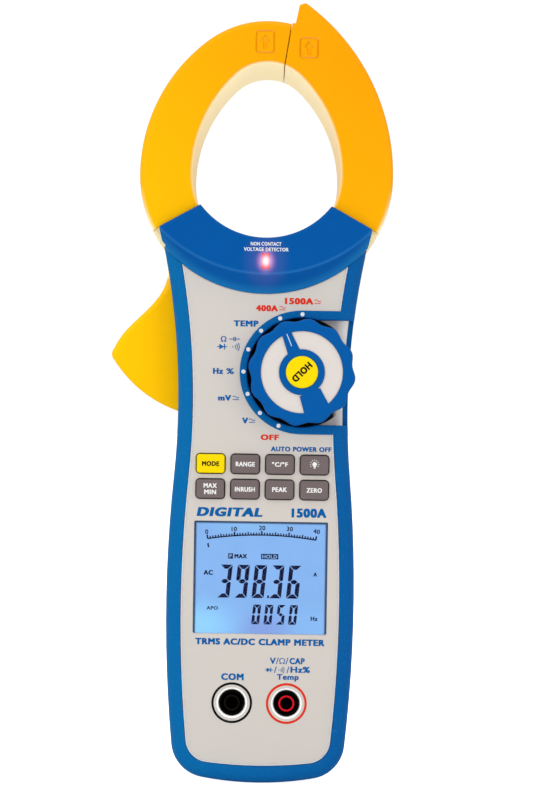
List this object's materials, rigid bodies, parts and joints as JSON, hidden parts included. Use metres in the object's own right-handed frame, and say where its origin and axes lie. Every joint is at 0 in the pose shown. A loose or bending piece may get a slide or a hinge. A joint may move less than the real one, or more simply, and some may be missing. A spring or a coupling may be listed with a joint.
{
  "type": "clamp meter",
  "caption": "Hand-held clamp meter with a hinged current jaw and trigger, rotary selector, keypad, backlit display and test-lead sockets.",
  "frame": {"origin": "centre of the conductor opening, on the plane where the casing halves meet", "axes": "+Z along the meter towards the jaw tip, -Y out of the display, +X to the right seen from the front"},
  "size_m": [0.1054, 0.0477, 0.2925],
  "materials": {
    "backlight_white": "diffuse",
    "battery_case": "plain wrap",
    "blue_overmould": "fine grained soft overmould",
    "blue_plastic": "satin",
    "board_green": "solder mask",
    "cable_grey": "matt",
    "component_black": "moulded",
    "core_iron": "laminated strip",
    "display_glass": "polarised",
    "grey_plastic": "fine moulded texture",
    "inlay_grey": "satin",
    "key_grey": "satin",
    "lamp_resin": "polished",
    "lead_black": "matt",
    "mat_silicone": "matt",
    "orange_plastic": "satin moulded plastic",
    "red_lens": "polished",
    "rotor_white": "satin",
    "screw_steel": "zinc plated",
    "seal_rubber": "matt",
    "sensor_resin": "moulded resin",
    "sleeve_brass": "turned",
    "spring_steel": "drawn wire",
    "white_ink": "printed dots",
    "window_clear": "polished",
    "yellow_button": "satin"
  },
  "bodies": {
    "casing": {"backlight_panel": "backlight_white", "battery": "battery_case", "battery_leads": "lead_black", "battery_snap": "component_black", "battery_terminals": "sleeve_brass", "board_components": "component_black", "buzzer": "component_black", "case_screws": "screw_steel", "case_seal": "seal_rubber", "com_contact": "sleeve_brass", "com_socket_body": "component_black", "dial_dots": "white_ink", "display_frame": "rotor_white", "display_glass": "display_glass", "display_window": "window_clear", "elastomer_strips": "seal_rubber", "field_sensor": "sensor_resin", "fixed_jaw_core": "core_iron", "fixed_jaw_front_shell": "orange_plastic", "fixed_jaw_rear_shell": "orange_plastic", "front_casing": "grey_plastic", "front_collar": "blue_plastic", "front_overmould": "blue_overmould", "indicator_lamp": "lamp_resin", "indicator_lens": "red_lens", "jaw_mount_screws": "screw_steel", "jaw_spring": "spring_steel", "keypad_mat": "mat_silicone", "main_board": "board_green", "pivot_pin": "screw_steel", "rear_casing": "grey_plastic", "rear_collar": "blue_plastic", "rear_overmould": "blue_overmould", "sensor_board": "board_green", "sensor_cable": "cable_grey", "volt_contact": "sleeve_brass", "volt_socket_body": "component_black"},
    "moving_jaw": {"moving_jaw_front_shell": "orange_plastic", "moving_jaw_rear_shell": "orange_plastic", "moving_jaw_core": "core_iron", "pivot_sleeve": "sleeve_brass"},
    "dial": {"knob": "blue_plastic", "knob_inlay": "inlay_grey", "switch_rotor": "rotor_white", "wiper_contacts": "sleeve_brass", "detent_balls": "spring_steel", "detent_springs": "spring_steel", "hold_spring": "spring_steel"},
    "hold_button": {"hold_button": "yellow_button", "hold_plunger": "rotor_white"},
    "key_mode": {"key_mode": "yellow_button"},
    "key_range": {"key_range": "key_grey"},
    "key_temperature": {"key_temperature": "key_grey"},
    "key_backlight": {"key_backlight": "key_grey"},
    "key_max_min": {"key_max_min": "key_grey"},
    "key_inrush": {"key_inrush": "key_grey"},
    "key_peak": {"key_peak": "key_grey"},
    "key_zero": {"key_zero": "key_grey"},
    "battery_door": {"battery_door": "grey_plastic", "battery_door_screws": "screw_steel"}
  },
  "joints": [
    {"name": "jaw_open", "type": "hinge", "parent": "casing", "child": "moving_jaw", "pos_m": [-0.0129, 0, -0.0354], "axis": [0, -1, 0], "range_deg": [0, 32], "deforming": ["jaw_spring"]},
    {"name": "dial_turn", "type": "hinge", "parent": "casing", "child": "dial", "pos_m": [0.0142, 0, -0.0736], "axis": [0, -1, 0], "range_deg": [-22.5, 135]},
    {"name": "hold_press", "type": "slide", "parent": "dial", "child": "hold_button", "axis": [0, 1, 0], "range_m": [0, 0.0012], "deforming": ["hold_spring"]},
    {"name": "key_mode_press", "type": "slide", "parent": "casing", "child": "key_mode", "axis": [0, 1, 0], "range_m": [0, 0.001]},
    {"name": "key_range_press", "type": "slide", "parent": "casing", "child": "key_range", "axis": [0, 1, 0], "range_m": [0, 0.001]},
    {"name": "key_temperature_press", "type": "slide", "parent": "casing", "child": "key_temperature", "axis": [0, 1, 0], "range_m": [0, 0.001]},
    {"name": "key_backlight_press", "type": "slide", "parent": "casing", "child": "key_backlight", "axis": [0, 1, 0], "range_m": [0, 0.001]},
    {"name": "key_max_min_press", "type": "slide", "parent": "casing", "child": "key_max_min", "axis": [0, 1, 0], "range_m": [0, 0.001]},
    {"name": "key_inrush_press", "type": "slide", "parent": "casing", "child": "key_inrush", "axis": [0, 1, 0], "range_m": [0, 0.001]},
    {"name": "key_peak_press", "type": "slide", "parent": "casing", "child": "key_peak", "axis": [0, 1, 0], "range_m": [0, 0.001]},
    {"name": "key_zero_press", "type": "slide", "parent": "casing", "child": "key_zero", "axis": [0, 1, 0], "range_m": [0, 0.001]},
    {"name": "battery_door_lift", "type": "slide", "parent": "casing", "child": "battery_door", "axis": [0, 1, 0], "range_m": [0, 0.03]}
  ]
}
